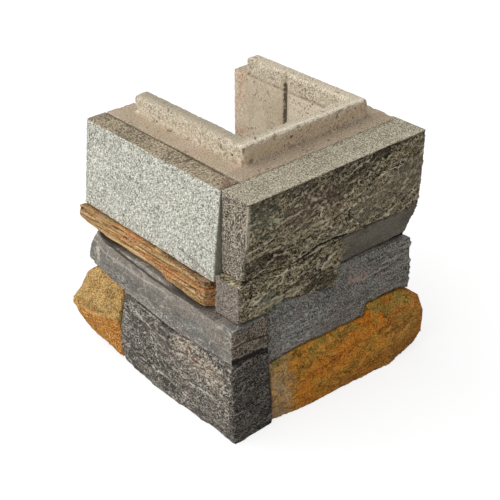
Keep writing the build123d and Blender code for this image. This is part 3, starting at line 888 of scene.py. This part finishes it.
dark_layers = both(tree, layered_end, threads(tree, place, (90, 80, 9), 0.008, shift=5))
colour = coats(tree, colour, [
    ("#c9c6bc", splinters(tree, place, (12, 12, 7), 0.035, shift=4), 0.6),
    ("#37332e", splinters(tree, place, (20, 20, 8), 0.05, shift=8), 0.65),
    ("#c2a698", along(tree, place, pink_bruise, 4.5, 1.1, across=Y), 0.75),
    ("#b5b2a6", pale_layers, 0.7),
    ("#211d19", dark_layers, 0.8),
    # Painted shade in the hollows of the relief and painted highlight on its crests.
    ("#211d18", ramp(tree, crest, -0.12, -0.5), 0.9),
    ("#c5beb1", ramp(tree, crest, 0.15, 0.5), 0.6),
])
colour = speckle(tree, place, colour, "#24201c", "#d0cbc0", 1.0, 0.6)
left_seam = ((-61.5, -94, 100), (-61.5, -94, 50))
colour = coat(tree, colour, "#a49d92", along(tree, place, left_seam, 1.3, 0.8, across=Y), 0.7)
finish_material(third_strip, layered_slate, tree, place, colour, grain_mm=1.3, depth_mm=0.7, roughness=0.75)


# Orange bottom stone
# The iron-stained sandstone at the foot of the right face, the deepest stone of the block.
# It is split to a full, uneven face, and its top slopes back to the strip above.

bottom_stone = rough_blank("orange_bottom_stone", "orange_sandstone_bottom", grain_mm=0.9)
tree, place, edge = start_relief(bottom_stone)
flake_mm, flake_shift = (10, 10, 6), 5
top_gap = ((46, -94, 63), (68, -94, 61.5), (96, -94, 60))
carve(bottom_stone, "orange_bottom_stone", tree, place, edge, [
    (1.3, chips(tree, place, (26, 26, 14), shift=3)),
    (0.9, chips(tree, place, flake_mm, flake_shift)),
    (0.6, patches(tree, place, (3, 3, 3), 0.35, 0.65, shift=7)),
    (-0.9, chipped_edge(tree, place, edge, (8, 8, 5))),
], facing(tree, [right_face], 0.3))

# Iron-stained sandstone, split: orange in the middle, tan at the corner, olive along the top.
bottom_stain, tree, place, crest = start_finish("orange_brown_sandstone")
colour = coat(tree, "#e79a36", "#c79036", patches(tree, place, (18, 18, 9), 0.45, 0.58, shift=3))
colour = coat(tree, colour, "#c2ab86", stretch(tree, place, X, -36, -44, 5), 0.95)
bands = [((-28, -102, 4), (-30, -102, 14), (-20, -102, 27), (14, -102, 34)),
         ((14, -102, 34), (44, -102, 42), (74, -102, 46), (96, -102, 48))]
for band in bands:
    colour = coat(tree, colour, "#dd8020", along(tree, place, band, 8, 1.2, across=Y), 0.8)
bright_patch = ((46, -102, 49), (58, -102, 47))
brown_foot = ((14, -102, 4), (100, -102, 14))
green_top = both(tree, stretch(tree, place, Z, 36, 48),
                 patches(tree, place, (12, 12, 6), 0.48, 0.57, shift=12))
flakes = chips(tree, place, flake_mm, flake_shift)
colour = coats(tree, colour, [
    ("#b0904e", stretch(tree, place, X, 58, 84, 12), 0.45),
    ("#f28a14", along(tree, place, bright_patch, 6, 1.2, across=Y), 0.95),
    ("#c98238", along(tree, place, brown_foot, 9, 1.1, across=Y), 0.7),
    ("#8d8840", green_top, 0.8),
    # Painted shade on the low side of each flake and painted highlight on its high side.
    ("#6d4517", ramp(tree, flakes, 0.46, 0.32), 0.4),
    ("#eeab48", ramp(tree, flakes, 0.58, 0.74), 0.3),
    ("#4a2c10", splinters(tree, place, (20, 20, 9), 0.04, shift=14), 0.7),
    ("#c8692a", stretch(tree, place, X, 98, 103, 3), 0.5),
    # Painted shade in the hollows of the relief and painted highlight on its crests.
    ("#6b4319", ramp(tree, crest, -0.2, -0.6), 0.6),
    ("#e8b060", ramp(tree, crest, 0.15, 0.5), 0.6),
])
colour = speckle(tree, place, colour, "#4a2c08", "#ffb850", 1.1, 0.45)
colour = coat(tree, colour, "#1a120a", along(tree, place, top_gap, 1.4, 0.9, across=Y), 0.7)
finish_material(bottom_stone, bottom_stain, tree, place, colour, grain_mm=1.5, depth_mm=0.9, roughness=0.85)


# Floor, light and camera
# A white studio floor with one large soft lamp high on the left, so the right face is in soft shade.
# The camera stands where a fit to the photograph's edges puts it.

bpy.ops.object.select_all(action="DESELECT")
floor_width = 6.0
floor_gap = 0.0002
bpy.ops.mesh.primitive_plane_add(size=floor_width, location=(0.0, 0.0, -floor_gap))
floor = bpy.context.object
floor.name = "studio_floor"
bpy.ops.object.transform_apply(location=True, rotation=True, scale=True)
paper = bpy.data.materials.new("white_paper")
paper.use_nodes = True
tree = paper.node_tree
tree.nodes.clear()
seen = add_node(tree, "ShaderNodeLightPath")
grey_bounce = add_node(tree, "ShaderNodeBsdfDiffuse", {"Color": to_linear("#aaaaaa")})
lit = add_node(tree, "ShaderNodeBsdfDiffuse", {"Color": (0.3, 0.3, 0.3, 1.0)})
glow = add_node(tree, "ShaderNodeEmission", {"Color": (1.0, 1.0, 1.0, 1.0), "Strength": 0.78})
white = add_node(tree, "ShaderNodeAddShader", {0: lit.outputs[0], 1: glow.outputs[0]})
shown = add_node(tree, "ShaderNodeMixShader", {0: seen.outputs["Is Camera Ray"], 1: grey_bounce.outputs[0],
                                               2: white.outputs[0]})
add_node(tree, "ShaderNodeOutputMaterial", {0: shown.outputs[0]})
floor.data.materials.append(paper)

world = bpy.data.worlds.new("studio")
bpy.context.scene.world = world
world.use_nodes = True
fill_light = world.node_tree.nodes["Background"]
fill_light.inputs["Color"].default_value = (1.0, 1.0, 1.0, 1.0)
fill_light.inputs["Strength"].default_value = 0.4

lamp_direction = Vector((0.64, -0.38, -0.60))
lamp = bpy.data.lights.new("window_lamp", "SUN")
lamp.energy = 2.8
lamp.angle = math.radians(95)
lamp_stand = bpy.data.objects.new("window_lamp", lamp)
bpy.context.collection.objects.link(lamp_stand)
lamp_stand.rotation_euler = lamp_direction.to_track_quat("-Z", "Y").to_euler()

azimuth = math.radians(41.86)
elevation = math.radians(30.84)
distance = 0.9613
aim = Vector((-0.0077, -0.0121, 0.1))
view_line = Vector((math.sin(azimuth) * math.cos(elevation), math.cos(azimuth) * math.cos(elevation),
                    -math.sin(elevation)))
lens = bpy.data.cameras.new("photo_camera")
lens.lens = 84.6
lens.sensor_width = 36.0
camera = bpy.data.objects.new("photo_camera", lens)
bpy.context.collection.objects.link(camera)
camera.location = aim - view_line * distance
camera.rotation_euler = view_line.to_track_quat("-Z", "Y").to_euler()
bpy.context.scene.camera = camera

bpy.context.scene.view_settings.view_transform = "Standard"
